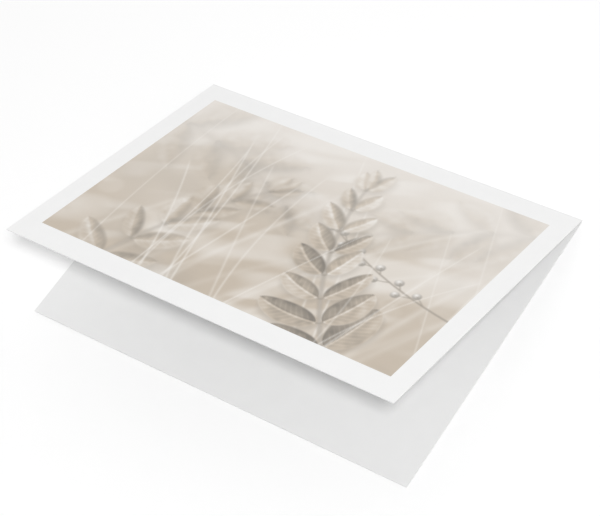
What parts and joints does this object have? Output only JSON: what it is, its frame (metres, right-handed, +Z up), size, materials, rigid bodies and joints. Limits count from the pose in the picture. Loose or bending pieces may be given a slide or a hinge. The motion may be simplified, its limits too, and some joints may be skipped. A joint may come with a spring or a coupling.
{
  "type": "greeting card",
  "caption": "Folded landscape greeting card of white stock with a bordered sepia print; its front leaf opens about the top fold.",
  "frame": {"origin": "centre of the box's bottom face, on the surface that the back leaf lies on", "axes": "+X along the fold, to the right as the front is read; +Y from the free edges towards the fold; +Z up"},
  "size_m": [0.1778, 0.127, 0.0451],
  "materials": {
    "card_stock": "smooth matt white",
    "sepia_print": "matt printed ink"
  },
  "bodies": {
    "back": {"back_leaf": "card_stock", "fold_strip": "card_stock"},
    "front": {"front_leaf": "card_stock"}
  },
  "joints": [
    {"name": "fold", "type": "hinge", "parent": "back", "child": "front", "pos_m": [0, 0.06295, 0.00055], "axis": [-1, 0, 0], "range_deg": [-20.4, 159.6], "deforming": ["fold_strip"]}
  ]
}
